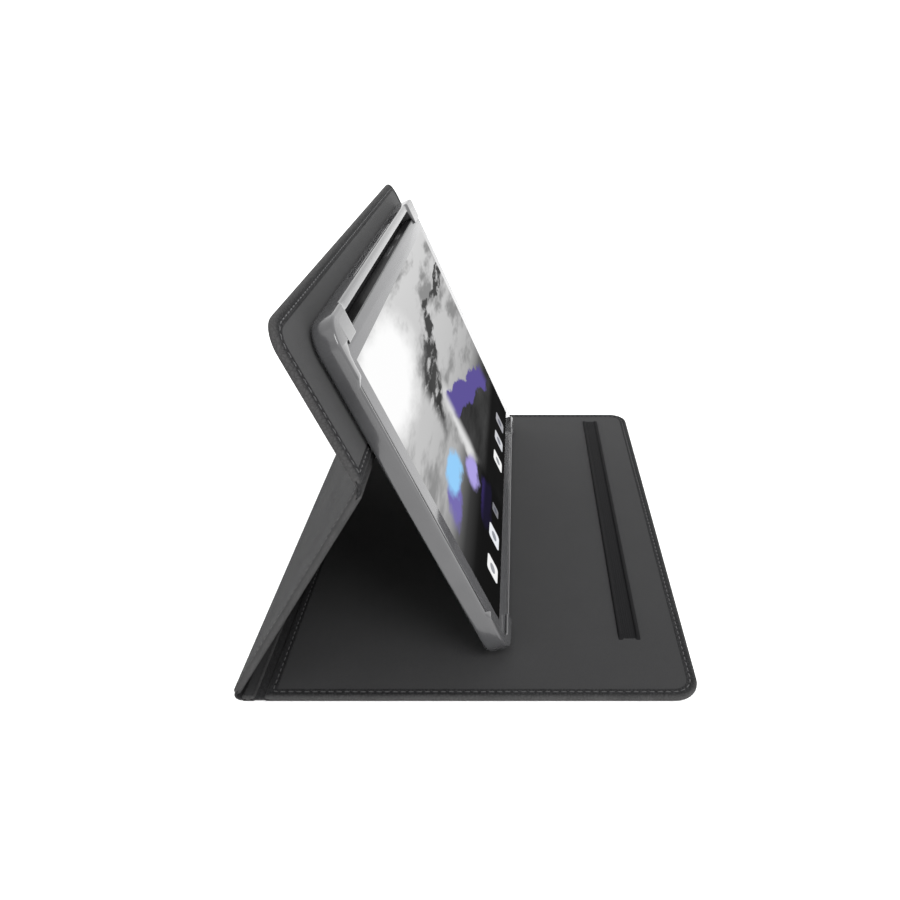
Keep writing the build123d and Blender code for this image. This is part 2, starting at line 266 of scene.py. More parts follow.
def leather_material():
    made = Shader("grained_leather", **{"Specular IOR Level": 0.07})
    warp = made.noise(240.0, 2.0)
    shift = made.add("ShaderNodeVectorMath", {0: warp, "Scale": 0.0035}, operation="SCALE")
    bent = made.add("ShaderNodeVectorMath", {0: made.coords, 1: shift.outputs[0]}, operation="ADD")
    grain = made.cells(640.0, "DISTANCE_TO_EDGE", bent.outputs[0])
    fine = made.noise(3400.0, 2.0)
    patchy = made.noise(70.0, 3.0, 0.6)
    broad = made.noise(14.0, 4.0, 0.6)
    # lighter edges: partly rubbed wear, partly a painted highlight along the rolled edges
    wear_and_sheen = made.add("ShaderNodeAttribute", attribute_name="edge_wear_and_sheen").outputs["Fac"]
    pebble = made.ramp(grain, [(0.0, 0.0), (0.09, 0.62), (0.34, 1.0)])
    toned = made.mix(pebble, (0.004, 0.004, 0.0043), (0.024, 0.024, 0.025))
    toned = made.mix(made.math("MULTIPLY", patchy, 0.5), toned, (0.009, 0.009, 0.0093))
    toned = made.mix(made.math("MULTIPLY", broad, 0.4), toned, (0.025, 0.025, 0.026))
    rubbed_and_sheen = made.math("MULTIPLY", wear_and_sheen, made.math("MULTIPLY_ADD", patchy, 0.7, 0.2))
    worn_and_sheen = made.mix(rubbed_and_sheen, toned, (0.064, 0.063, 0.063))
    rough = made.math("MULTIPLY_ADD", broad, 0.14, made.math("MULTIPLY_ADD", patchy, 0.14, 0.5))
    relief = made.math("MULTIPLY_ADD", fine, 0.16, pebble)
    made.set(Base_Color=worn_and_sheen, Roughness=rough, Normal=made.bump(relief, 0.00022))
    return made.material


def lining_material():
    made = Shader(
        "brushed_microfibre",
        **{"Specular IOR Level": 0.2, "Sheen Weight": 0.12, "Sheen Roughness": 0.45},
    )
    fibre = made.noise(2600.0, 2.0, 0.7)
    strands = made.noise(1.0, 3.0, 0.7, made.stretched((1500.0, 260.0, 1500.0)))
    nap = made.noise(48.0, 4.0, 0.62)
    hand = made.noise(9.0, 2.0)
    base = made.mix(fibre, (0.01, 0.01, 0.0103), (0.031, 0.031, 0.032))
    brushed = made.mix(made.math("MULTIPLY", nap, 0.55), base, (0.013, 0.013, 0.0135))
    toned = made.mix(made.math("MULTIPLY", hand, 0.35), brushed, (0.028, 0.028, 0.029))
    relief = made.math("MULTIPLY_ADD", strands, 0.6, fibre)
    made.set(Base_Color=toned, Roughness=0.88, Normal=made.bump(relief, 0.00012, 0.7))
    return made.material


def thread_material():
    made = Shader("waxed_thread", **{"Specular IOR Level": 0.3, "Sheen Weight": 0.2})
    ply = made.noise(4200.0, 2.0, 0.6)
    colour = made.mix(ply, (0.02, 0.02, 0.021), (0.058, 0.058, 0.06))
    made.set(Base_Color=colour, Roughness=0.66, Normal=made.bump(ply, 0.00008))
    return made.material


def rubber_material():
    made = Shader("matt_rubber", **{"Specular IOR Level": 0.1})
    speck = made.noise(1800.0, 3.0, 0.6)
    dust = made.noise(60.0, 4.0, 0.6)
    colour = made.mix(dust, (0.003, 0.003, 0.0035), (0.008, 0.008, 0.0085))
    rough = made.math("MULTIPLY_ADD", dust, 0.2, 0.62)
    made.set(Base_Color=colour, Roughness=rough, Normal=made.bump(speck, 0.00006, 0.6))
    return made.material


def tray_material():
    made = Shader("glossy_moulding", **{"Specular IOR Level": 0.5, "Coat Weight": 0.35})
    peel = made.noise(420.0, 2.0, 0.4)
    scuff = made.noise(1.0, 5.0, 0.7, made.stretched((900.0, 60.0, 900.0)))
    smear = made.noise(28.0, 4.0, 0.6)
    colour = made.mix(smear, (0.034, 0.034, 0.0355), (0.066, 0.066, 0.0685))
    hazy = made.math("MULTIPLY_ADD", smear, 0.14, 0.07)
    rough = made.math("MULTIPLY_ADD", scuff, 0.08, hazy)
    made.set(Base_Color=colour, Roughness=rough, Normal=made.bump(peel, 0.00003, 0.5))
    return made.material


def foam_material():
    made = Shader("foam_tape", **{"Specular IOR Level": 0.2})
    pores = made.cells(1500.0, "F1")
    colour = made.mix(pores, (0.03, 0.03, 0.03), (0.012, 0.012, 0.012))
    made.set(Base_Color=colour, Roughness=0.9, Normal=made.bump(pores, 0.0002))
    return made.material


def satin_material(name, dark, light, rough, specular=0.5):
    """Moulded or blasted satin surface."""
    made = Shader(name, **{"Specular IOR Level": specular})
    blast = made.noise(2400.0, 2.0, 0.5)
    smear = made.noise(35.0, 4.0, 0.6)
    made.set(
        Base_Color=made.mix(smear, dark, light),
        Roughness=made.math("MULTIPLY_ADD", smear, 0.12, rough),
        Normal=made.bump(blast, 0.00002, 0.6),
    )
    return made.material


def foil_material():
    made = Shader("battery_foil", **{"Metallic": 0.6})
    crumple = made.cells(90.0, "SMOOTH_F1")
    colour = made.mix(crumple, (0.32, 0.32, 0.33), (0.2, 0.2, 0.21))
    made.set(Base_Color=colour, Roughness=0.35, Normal=made.bump(crumple, 0.0006))
    return made.material


def circuit_material():
    made = Shader("circuit_board")
    chips = made.cells(170.0, "F1")
    tracks = made.noise(1.0, 2.0, 0.5, made.stretched((1400.0, 220.0, 220.0)))
    soldered = made.ramp(tracks, [(0.47, (0.01, 0.05, 0.03)), (0.53, (0.02, 0.1, 0.06))])
    packed = made.ramp(chips, [(0.34, 0.0), (0.36, 1.0)])
    colour = made.mix(packed, (0.012, 0.012, 0.013), soldered)
    made.set(Base_Color=colour, Roughness=0.5, Normal=made.bump(packed, 0.0004))
    return made.material


def lens_material():
    made = Shader("lens_glass", **{"Coat Weight": 1.0, "Coat Roughness": 0.02})
    ring = made.cells(400.0, "F1")
    colour = made.mix(ring, (0.004, 0.005, 0.009), (0.014, 0.012, 0.02))
    made.set(Base_Color=colour, Roughness=made.math("MULTIPLY_ADD", ring, 0.05, 0.04))
    return made.material


def floor_material():
    made = Shader("pale_floor", **{"Specular IOR Level": 0.1, "Emission Strength": 0.3})
    tone = made.noise(1.2, 2.0)
    colour = made.mix(tone, (0.93, 0.93, 0.93), (0.95, 0.95, 0.95))
    made.set(Base_Color=colour, Roughness=0.9)
    return made.material


# soft patches of the picture: x, y, reach along x and y (shares of its width and height), colour
PATCHES = (
    (0.12, 0.38, 0.075, 0.05, (0.18, 0.15, 0.43)),
    (0.335, 0.295, 0.07, 0.06, (0.42, 0.36, 0.78)),
    (0.32, 0.15, 0.085, 0.05, (0.055, 0.035, 0.2)),
    (0.2, 0.41, 0.085, 0.055, (0.3, 0.62, 0.96)),
)
# plain tiles under it: place along, half width and tint
TILES = (
    (0.123, 0.028, (0.9, 0.9, 0.9)),
    (0.246, 0.028, (0.82, 0.84, 0.88)),
    (0.356, 0.018, (0.2, 0.2, 0.22)),
    (0.606, 0.028, (0.92, 0.92, 0.92)),
    (0.725, 0.028, (0.62, 0.63, 0.66)),
    (0.843, 0.028, (0.4, 0.4, 0.43)),
)
TILE_RISE = 0.07  # the tiles' place up the picture
TILE_CORNER = 0.36  # share of a tile's half width
# the picture's grey levels, from its lower edge up, raised by a painted reflection of the bright
# surroundings
SKY_AND_REFLECTION_TONES = (
    (0.0, 0.003), (0.2, 0.006), (0.28, 0.04), (0.34, 0.13), (0.42, 0.42), (0.6, 0.54), (1.0, 0.66),
)
BORDER_GLOSS = 0.62  # specular level of the border; the lit display has none, and the surroundings' reflection on it is painted into the picture


def screen_material():
    """Dark-bordered glass over a lit display that shows an abstract misty picture and plain tiles, with
    a painted glare and a painted reflection in the picture.
    """
    low, high = tablet_flat.extent("tablet_display")
    width, height = (high[0] - low[0]) * MM, (high[1] - low[1]) * MM
    made = Shader("screen_glass", **{"Emission Strength": 1.0})
    offset = made.add(
        "ShaderNodeVectorMath", {0: made.coords, 1: tuple(tablet_flat.origin)}, operation="SUBTRACT"
    ).outputs[0]
    run = made.add("ShaderNodeSeparateXYZ", {0: offset}).outputs["Y"]
    rise = made.add(
        "ShaderNodeVectorMath", {0: offset, 1: tuple(tablet_flat.b_dir)}, operation="DOT_PRODUCT"
    ).outputs["Value"]
    # sx and sy run from 0 to 1 along and up the picture
    sx = made.math("DIVIDE", made.math("SUBTRACT", run, low[0] * MM), width)
    sy = made.math("DIVIDE", made.math("SUBTRACT", rise, low[1] * MM), height)
    spot = made.add("ShaderNodeCombineXYZ", {"X": sx, "Y": sy}).outputs[0]

    def fade(value, start, end):
        """0 at start and 1 at end, smooth between them."""
        values = {"Value": value, "From Min": start, "From Max": end}
        return made.add("ShaderNodeMapRange", values, interpolation_type="SMOOTHSTEP").outputs[0]

    def drift(scale, stretch, turn, detail=4.0):
        """Noise over the picture, stretched and turned."""
        values = {"Vector": spot, "Scale": stretch, "Rotation": (0.0, 0.0, turn)}
        return made.noise(scale, detail, 0.6, made.add("ShaderNodeMapping", values).outputs[0])

    warp_x = made.math("MULTIPLY_ADD", drift(5.0, (1.0, 1.0, 1.0), 0.0), 0.16, -0.08)
    warp_y = made.math("MULTIPLY_ADD", drift(6.0, (1.0, 1.6, 1.0), 1.0), 0.16, -0.08)
    wx, wy = made.math("ADD", sx, warp_x), made.math("ADD", sy, warp_y)

    def length_of(first, second):
        squares = made.math("MULTIPLY_ADD", first, first, made.math("MULTIPLY", second, second))
        return made.math("SQRT", squares)

    def patch(x, y, reach_x, reach_y, soft):
        """A soft patch with a drifting outline."""
        away_x = made.math("DIVIDE", made.math("SUBTRACT", wx, x), reach_x)
        away_y = made.math("DIVIDE", made.math("SUBTRACT", wy, y), reach_y)
        return fade(length_of(away_x, away_y), 1 + soft, 1 - soft)

    def times(first, second):
        return made.math("MULTIPLY", first, second)

    def past(value, limit):
        """How far a value lies beyond a limit, either way."""
        return made.math("MAXIMUM", made.math("SUBTRACT", made.math("ABSOLUTE", value), limit), 0.0)

    picture = made.ramp(sy, SKY_AND_REFLECTION_TONES)
    mist = drift(3.2, (1.0, 2.4, 1.0), 0.42)
    picture = made.mix(times(fade(mist, 0.46, 0.64), fade(sy, 0.34, 0.44)), picture, 0.27)
    # painted glare: a near-white reflection patch high on the near side
    picture = made.mix(patch(0.13, 0.86, 0.24, 0.15, 0.4), picture, 0.98)
    picture = made.mix(patch(0.43, 0.42, 0.055, 0.15, 0.4), picture, 0.74)
    # a far ridge that climbs to the right and thins out
    short = made.math("MAXIMUM", made.math("SUBTRACT", 0.66, wx), 0.0)
    climb = made.math("SUBTRACT", made.math("MULTIPLY_ADD", short, 0.55, wy), 0.8)
    thick = made.math("MULTIPLY_ADD", short, 0.24, 0.028)
    ridge = fade(made.math("DIVIDE", made.math("ABSOLUTE", climb), thick), 1.1, 0.65)
    broken = fade(drift(9.0, (1.0, 2.6, 1.0), 0.35, 6.0), 0.36, 0.5)
    there = times(times(fade(sx, 0.25, 0.33), ridge), broken)
    rock = made.ramp(mist, [(0.3, 0.012), (0.7, 0.07)])
    picture = made.mix(times(there, 0.97), picture, rock)
    # a violet slope that falls to the right, with dark ground under it
    fall = made.math("MULTIPLY_ADD", wx, 0.42, wy)
    right = fade(sx, 0.4, 0.46)
    soil = made.ramp(mist, [(0.35, 0.02), (0.7, 0.06)])
    picture = made.mix(times(fade(fall, 0.66, 0.62), right), picture, soil)
    ribbon = fade(made.math("ABSOLUTE", made.math("SUBTRACT", fall, 0.68)), 0.066, 0.048)
    picture = made.mix(times(ribbon, times(right, fade(sx, 0.96, 0.88))), picture, (0.11, 0.085, 0.31))
    for x, y, reach_x, reach_y, colour in PATCHES:
        picture = made.mix(patch(x, y, reach_x, reach_y, 0.3), picture, colour)
    ground = fade(sy, 0.22, 0.16)
    picture = made.mix(times(ground, 0.9), picture, 0.003)

    ratio = height / width
    for x, half, tint in TILES:
        from_x = made.math("SUBTRACT", sx, x)
        from_y = times(made.math("SUBTRACT", sy, TILE_RISE), ratio)
        corner = half * TILE_CORNER
        out_x, out_y = past(from_x, half - corner), past(from_y, half - corner)
        tile = fade(length_of(out_x, out_y), corner, corner * 0.85)
        dot = fade(length_of(from_x, from_y), half * 0.5, half * 0.42)
        picture = made.mix(tile, picture, tint)
        picture = made.mix(times(dot, 0.7), picture, (0.08, 0.09, 0.13))

    def within(value):
        """1 between 0 and 1, and 0 elsewhere."""
        over = made.math("GREATER_THAN", value, 0.0)
        return times(over, made.math("LESS_THAN", value, 1.0))

    smear = made.noise(45.0, 4.0, 0.65)
    lit = times(within(sx), within(sy))
    # the border's dark print, lifted to dark grey as a painted reflection, and mottled by smears
    border = made.mix(smear, (0.055, 0.055, 0.058), (0.08, 0.08, 0.083))
    made.set(
        Base_Color=made.mix(lit, border, 0.003),
        Roughness=made.math("MULTIPLY_ADD", smear, 0.09, 0.02),
        Specular_IOR_Level=made.math("MULTIPLY_ADD", lit, -BORDER_GLOSS, BORDER_GLOSS),
        Emission_Color=made.mix(lit, 0.0, picture),
    )
    return made.material


leather = leather_material()
lining = lining_material()
thread = thread_material()
rubber = rubber_material()
moulding = tray_material()
foam = foam_material()
screen = screen_material()
satin = satin_material(
    "satin_housing", (0.007, 0.007, 0.0075), (0.013, 0.013, 0.0138), 0.34, specular=0.3
)
key_satin = satin_material("satin_keys", (0.022, 0.022, 0.024), (0.036, 0.036, 0.038), 0.3)
# near black: the plate's own dark moulding, darkened further to paint the shade in the gap under the
# upper wall
dull_moulding = satin_material(
    "dull_moulding", (0.004, 0.004, 0.0042), (0.01, 0.01, 0.0104), 0.55, specular=0.1
)
module = satin_material("module_plastic", (0.02, 0.02, 0.02), (0.04, 0.04, 0.04), 0.45)
display = satin_material("display_module", (0.4, 0.4, 0.42), (0.55, 0.55, 0.58), 0.25)
foil = foil_material()
circuit = circuit_material()
lens = lens_material()


# ---------------------------------------------------------------- mesh tools


def piece(name, points, faces, material, body, sharp=40.0, wear_and_sheen=None):
    """A finished mesh piece that rides on a body. body is None for a piece that rides on none.
    The edge weight: how rubbed each point is and how far a painted edge highlight lightens it, from 0 to
    1."""
    mesh = bpy.data.meshes.new(name)
    mesh.from_pydata([tuple(p) for p in points], [], [tuple(f) for f in faces])
    mesh.validate()
    if wear_and_sheen is not None:
        attribute = mesh.attributes.new("edge_wear_and_sheen", "FLOAT", "POINT")
        attribute.data.foreach_set("value", np.asarray(wear_and_sheen, np.float32).ravel())
    mesh.polygons.foreach_set("use_smooth", [True] * len(mesh.polygons))
    mesh.set_sharp_from_angle(angle=math.radians(sharp))
    mesh.materials.append(material)
    made = bpy.data.objects.new(name, mesh)
    bpy.context.scene.collection.objects.link(made)
    if body:
        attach(made, body)
    return made


def grid_faces(rows, columns, start=0, flip=False):
    i, j = np.meshgrid(np.arange(rows - 1), np.arange(columns - 1), indexing="ij")
    first = (start + i * columns + j).ravel()
    quads = np.stack([first, first + columns, first + columns + 1, first + 1], 1)
    return (quads[:, ::-1] if flip else quads).tolist()


def border_ring(rows, columns):
    """The grid's border vertices in order."""
    ring = [i * columns for i in range(rows)]
    ring += [(rows - 1) * columns + j for j in range(1, columns)]
    ring += [i * columns + columns - 1 for i in range(rows - 2, -1, -1)]
    ring += list(range(columns - 2, 0, -1))
    return ring


# where a panel's grid lines lie, from its edge
BORDER_LINES = np.array([
    0, 0.08, 0.25, 0.5, 0.85, 1.25, 1.7, 2.2, 2.65, 3.0, 3.3, 3.6, 3.95, 4.4, 4.75, 4.95, 5.05, 5.25,
    5.7, 6.6, 8.0, 10.0,
])


def closed_faces(rows, columns, flip=False):
    """Faces of two equal grids, one after the other, joined along their borders."""
    count = rows * columns
    faces = grid_faces(rows, columns, flip=flip) + grid_faces(rows, columns, count, flip=not flip)
    ring = border_ring(rows, columns)
    for one, two in zip(ring, ring[1:] + ring[:1]):
        faces.append((one, one + count, two + count, two)[:: 1 if flip else -1])
    return faces


def grid_lines(low, high, pitch):
    """Grid lines from low to high, close together along both borders."""
    near = BORDER_LINES[BORDER_LINES < (high - low) / 2 - 0.3]
    first, last = low + near[-1], high - near[-1]
    middle = np.linspace(first, last, max(2, int((last - first) / pitch) + 2))
    return np.concatenate([low + near, middle[1:-1], (high - near)[::-1]])


def rounded_grid(rect, corners, pitch):
    """Grid over a rectangle whose corners are rounded. Returns a, b and the distance from the border."""
    low_a, high_a, low_b, high_b = rect
    a, b = np.meshgrid(
        grid_lines(low_a, high_a, pitch), grid_lines(low_b, high_b, pitch), indexing="ij"
    )
    border = np.minimum(np.minimum(a - low_a, high_a - a), np.minimum(b - low_b, high_b - b))
    at_a, at_b = a.copy(), b.copy()
    for edge_a, into_a, radius in ((low_a, 1, corners[0]), (high_a, -1, corners[1])):
        for edge_b, into_b in ((low_b, 1), (high_b, -1)):
            part_a = 1 - into_a * (a - edge_a) / radius
            part_b = 1 - into_b * (b - edge_b) / radius
            inside = (part_a > 0) & (part_b > 0)
            pa, pb = part_a[inside], part_b[inside]
            reach = np.maximum(pa, pb)
            turn = np.where(pa >= pb, pb / reach, 2 - pa / reach) * math.pi / 4
            at_a[inside] = edge_a + into_a * radius * (1 - reach * np.cos(turn))
            at_b[inside] = edge_b + into_b * radius * (1 - reach * np.sin(turn))
    return at_a, at_b, border


def slab(name, flat, rect, corners, over, under, material, body, pitch=3.0):
    """A closed slab. over and under give its two faces' heights from border distance and place."""
    a, b, border = rounded_grid(rect, corners, pitch)
    points = [flat.place(a, b, face(border, a, b)) for face in (over, under)]
    # edge weight for the lighter rim: rubbed wear and a painted edge highlight
    wear_and_sheen = np.clip(1 - border / WEAR_AND_SHEEN_REACH, 0, 1).ravel()
    return piece(
        name, np.concatenate(points), closed_faces(*a.shape), material, body,
        wear_and_sheen=np.concatenate([wear_and_sheen, wear_and_sheen]),
    )


def field(a, b, size, seed):
    """Smooth unevenness from -1 to 1 with features of about that size."""
    flat_a, flat_b = np.ravel(a) / size, np.ravel(b) / size
    values = [noise.noise(Vector((x, y, seed))) for x, y in zip(flat_a, flat_b)]
    return np.array(values).reshape(np.shape(a))


def rolled(border, radius):
    """How far a face has dropped, close to its rolled edge."""
    inner = radius - np.clip(border, 0, radius)
    return radius - np.sqrt(np.maximum(radius**2 - inner**2, 0))


def smooth(value, low, high):
    part = np.clip((value - low) / (high - low), 0, 1)
    return part * part * (3 - 2 * part)


# ---------------------------------------------------------------- stitching


def rounded_path(rect, corners, inset):
    """Closed line that follows a rounded rectangle at an inset."""
    low_a, high_a, low_b, high_b = rect
    points = []
    for (a, b), radius, start in (
        ((low_a, low_b), corners[0], 180),
        ((high_a, low_b), corners[1], 270),
        ((high_a, high_b), corners[1], 0),
        ((low_a, high_b), corners[0], 90),
    ):
        curve = max(radius - inset, 0.4)
        centre_a = a + (inset + curve) * (1 if a == low_a else -1)
        centre_b = b + (inset + curve) * (1 if b == low_b else -1)
        for turn in np.linspace(0, 90, 9):
            angle = math.radians(start + turn)
            points.append((centre_a + curve * math.cos(angle), centre_b + curve * math.sin(angle)))
    return np.array(points + points[:1])


def stitch_row(name, flat, path, level, side, body):
    """A row of arched stitches along a path. level is the height of their tops, on that side."""
    steps = np.linalg.norm(np.diff(path, axis=0), axis=1)
    travelled = np.concatenate([[0], np.cumsum(steps)])
    count = int(travelled[-1] / STITCH_PITCH)
    places = (np.arange(count) + 0.5) * travelled[-1] / count
    ahead = places + STITCH_LENGTH / 2
    behind = places - STITCH_LENGTH / 2
    to_a = [np.interp(where, travelled, path[:, 0]) for where in (behind, ahead)]
    to_b = [np.interp(where, travelled, path[:, 1]) for where in (behind, ahead)]
    run = np.array((-0.5, -0.4, -0.2, 0.2, 0.4, 0.5))
    girth = THREAD * np.array((0.25, 0.85, 1.0, 1.0, 0.85, 0.25))
    lift = np.array((-0.42, -0.16, 0.0, 0.0, -0.16, -0.42))
    sides = 6
    turns = np.arange(sides) * 2 * math.pi / sides
    points, faces = [], []
    for k in range(count):
        start = np.array((to_a[0][k], to_b[0][k]))
        end = np.array((to_a[1][k], to_b[1][k]))
        middle, along = (start + end) / 2, end - start
        across = np.array((-along[1], along[0])) / np.linalg.norm(along)
        first = len(points) * len(run) * sides
        ring_a = middle[0] + run[:, None] * along[0] + girth[:, None] * np.cos(turns) * across[0]
        ring_b = middle[1] + run[:, None] * along[1] + girth[:, None] * np.cos(turns) * across[1]
        height = level - THREAD + lift[:, None] + girth[:, None] * np.sin(turns)
        points.append(flat.place(ring_a, ring_b, side * height))
        for i in range(len(run) - 1):
            for j in range(sides):
                low, next_low = first + i * sides + j, first + i * sides + (j + 1) % sides
                faces.append((low, next_low, next_low + sides, low + sides)[::side])
        faces.append(tuple(range(first + sides - 1, first - 1, -1))[::side])
        last = first + (len(run) - 1) * sides
        faces.append(tuple(range(last, last + sides))[::side])
    return piece(name, np.concatenate(points), faces, thread, body, sharp=70.0)


# ---------------------------------------------------------------- the four panels


def soft_panel(name, flat, body, corners, stitched=True):
    """Leather skin with rolled edges and hem, its lining, and their stitching.
    corners: radii at its low and high a."""
    low, high = flat.extent(f"{name}_leather")
    rect = (low[0], high[0], low[1], high[1])
    face = high[2]
    seed = len(name) * 1.7
    hem = min(HEM_EDGE, (rect[1] - rect[0]) / 4)
    tuck = hem - (HEM_EDGE - LINING_TUCK)
    groove = GROOVE_DEPTH if stitched else 0.0

    def dip(border, half_width):
        """The line that the stitches press in."""
        return groove * np.exp(-(((border - STITCH_IN) / half_width) ** 2))

    def outside(border, a, b):
        waves = 0.05 + 0.05 * field(a, b, 26.0, seed) * smooth(border, 0, 12)
        return face - rolled(border, ROLL) - dip(border, 0.7) - waves

    def inside(border, a, b):
        puff = 0.03 + 0.03 * field(a, b, 9.0, seed + 5)
        sunk = (face - UNDER_LINING) * smooth(border, hem - 0.1, hem + 0.1)
        return -(face - rolled(border, ROLL) - dip(border, 0.6) - puff - sunk)

    skin = slab(f"{name}_skin", flat, rect, corners, outside, inside, leather, body)
    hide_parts(f"{name}_leather", f"{name}_board")

    cloth_rect = (rect[0] + tuck, rect[1] - tuck, rect[2] + tuck, rect[3] - tuck)
    cloth_corners = [max(r - tuck, 0.6) for r in corners]

    def cloth_face(border, a, b):
        uneven = 0.05 * field(a, b, 34.0, seed + 9) + 0.02 * field(a, b, 6.0, seed + 3)
        return -(LINING_LEVEL - rolled(border, 0.25) + uneven * smooth(border, 0, 6))

    def cloth_back(border, a, b):
        return np.full(np.shape(a), -UNDER_LINING - 0.01)

    cloth = slab(
        f"{name}_inner_cloth", flat, cloth_rect, cloth_corners, cloth_back, cloth_face,
        lining, body,
    )
    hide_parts(f"{name}_lining")
    if stitched:
        path = rounded_path(rect, corners, STITCH_IN)
        stitch_row(f"{name}_outer_stitching", flat, path, face - 0.02, 1, body)
        stitch_row(f"{name}_inner_stitching", flat, path, face - 0.02, -1, body)


soft_panel("cover", cover_flat, "cover", (PANEL_CORNER, CREASE_CORNER))
soft_panel("spine", cover_flat, "spine", (CREASE_CORNER, CREASE_CORNER), stitched=False)
soft_panel("leg", leg_flat, "leg", (CREASE_CORNER, CREASE_CORNER))
soft_panel("panel", panel_flat, "back_panel", (CREASE_CORNER, PANEL_CORNER))


# ---------------------------------------------------------------- creases


def crease(name, node, axis, come, leave, gap):
    """Soft leather strip between two panels: an arc that leaves each along its middle."""
    come, leave = np.array(come, float), np.array(leave, float)
    way = -math.copysign(1, come[2] * leave[0] - come[0] * leave[2])
    turn = math.acos(max(-1.0, min(1.0, float(come @ leave))))
    reach = gap / 2
    places, outs, halves = [], [], []

    def station(point, direction, half):
        places.append(point)
        outs.append((-direction[2], 0.0, direction[0]))
        halves.append(half)

    def tucked(step):
        return CREASE_HALF + (SHOULDER_HALF - CREASE_HALF) * smooth(step, 0, CREASE_TUCK)

    for step in np.linspace(CREASE_TUCK, 0, 6)[:-1]:
        station(-come * (reach + step), come, tucked(step))
    for part in np.linspace(0, 1, 15):
        if turn < 1e-4:  # the panels lie in line
            station(come * reach * (2 * part - 1), come, CREASE_HALF)
            continue
        radius = reach / math.tan(turn / 2)
        spin = way * turn * part
        direction = np.array(
            (
                come[0] * math.cos(spin) - come[2] * math.sin(spin),
                0.0,
                come[0] * math.sin(spin) + come[2] * math.cos(spin),
            )
        )
        centre = -come * reach + radius * way * np.array((-come[2], 0.0, come[0]))
        point = centre - radius * way * np.array((-direction[2], 0.0, direction[0]))
        station(point, direction, CREASE_HALF)
    for step in np.linspace(0, CREASE_TUCK, 6)[1:]:
        station(leave * (reach + step), leave, tucked(step))

    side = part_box(node)[1].y / MM
    near = np.array((0, 0.1, 0.3, 0.6, 1.0))
    lines = np.concatenate([side - near, np.arange(side - 3, 3 - side, -3.0), near[::-1] - side])
    places, outs, halves = np.array(places), np.array(outs), np.array(halves)
    rows, columns = len(places), len(lines)
    k, b = np.meshgrid(np.arange(rows), lines, indexing="ij")
    ends = side - np.abs(b)
    plump = 1 - rolled(ends, 0.7) / 0.7 * 0.75
    pucker = 0.09 * field(k * 1.2, b, 4.0, len(name))
    thickness = halves[k] * plump
    base = np.array(axis) + MM * (places[k] + b[..., None] * np.array(Y_AXIS))
    top = base + MM * (thickness + pucker)[..., None] * outs[k]
    bottom = base - MM * (thickness + pucker * 0.5)[..., None] * outs[k]
    points = np.concatenate([top.reshape(-1, 3), bottom.reshape(-1, 3)])
    # the whole crease gets a little of the rubbed wear and painted-highlight lightening
    made = piece(
        name, points, closed_faces(rows, columns), leather, None,
        wear_and_sheen=np.full(len(points), 0.12),
    )
    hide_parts(node)
    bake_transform(made)


west = (-1.0, 0.0, 0.0)
crease("cover_crease_skin", "cover_crease", cover_axis, west, west, COVER_GAP)
crease("spine_crease_skin", "spine_crease", spine_axis, west, leg_dir, SPINE_GAP)
crease(
    "panel_crease_skin", "panel_crease", panel_axis, leg_dir, screen_up, PANEL_GAP,
)


# ---------------------------------------------------------------- grip strips


def grip(name):
    """Moulded rubber strip with two stop ribs and fine grooves between them, tapered at its ends."""
    low, high = cover_flat.extent(f"{name}_grip_strip")
    width = high[0] - low[0]
    floor_level, rib_top = -low[2], -cover_flat.extent(f"{name}_stop_ribs")[0][2]
    root = LINING_LEVEL - 0.15
    across = [0, 0.05, 0.25, 0.55, 0.9, 1.3, 1.65, 1.95, 2.15, 2.25, 2.4]
    inner = np.arange(GROOVES_START, width - GROOVES_START + 0.05, 0.2).tolist()
    across = np.array(across + inner + [width - v for v in across[::-1]])
    edge = np.minimum(across, width - across)
    rib = np.clip(edge / RIB_WIDTH, 0, 1)
    rib_shape = np.where(edge < RIB_WIDTH, np.sqrt(np.maximum(1 - np.abs(2 * rib - 1) ** 3, 0)), 0.0)
    waves = np.cos((across - GROOVES_START) * 2 * math.pi / GRIP_PITCH)
    grooves = GRIP_DEPTH * (0.5 - 0.5 * waves)
    level = floor_level + (rib_top - floor_level) * rib_shape
    level = np.where(edge > 2.35, floor_level - grooves, level)
    level[edge < 0.02] = root
    ends = np.array((0, 0.15, 0.5, 1.0, 1.8, 3.0, 4.5))
    middle = np.arange(low[1] + 8, high[1] - 7, 6.0)
    lines = np.concatenate([low[1] + ends, middle, (high[1] - ends)[::-1]])
    a, b = np.meshgrid(low[0] + across, lines, indexing="ij")
    from_end = np.minimum(b - low[1], high[1] - b)
    raised = root + (level[:, None] - root) * smooth(from_end, -0.6, 3.5)
    raised[:, (0, -1)] = root
    top = cover_flat.place(a, b, -raised)
    bottom = cover_flat.place(a, b, np.full(a.shape, -root + 0.1))
    made = piece(
        f"{name}_grip_moulding", np.concatenate([top, bottom]), closed_faces(*a.shape, flip=True),
        rubber, "cover", sharp=50.0,
    )
    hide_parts(f"{name}_grip_strip", f"{name}_stop_ribs")


grip("inner")
grip("outer")


# ---------------------------------------------------------------- tray


def pocket_inset(point, inwards, clip):
    """How far the pocket's side lies from the tray's outline. The upper clips fill the upper gap."""
    curve = TRAY_CORNER - TRAY_WALL
    centre = tray_height - UPPER_CLIP_DEPTH - TRAY_CORNER
    if inwards[1] == -1.0:
        return UPPER_WALL + (TRAY_WALL + UPPER_CLIP_DEPTH - UPPER_WALL) * clip
    if point[1] <= centre:
        return TRAY_WALL
    if inwards[0] == 1.0:
        return TRAY_CORNER - math.sqrt(curve**2 - (point[1] - centre) ** 2)
    rise = -inwards[1]
    shift = UPPER_CLIP_DEPTH * rise
    return TRAY_CORNER + shift - math.sqrt(shift**2 + curve**2 - UPPER_CLIP_DEPTH**2)


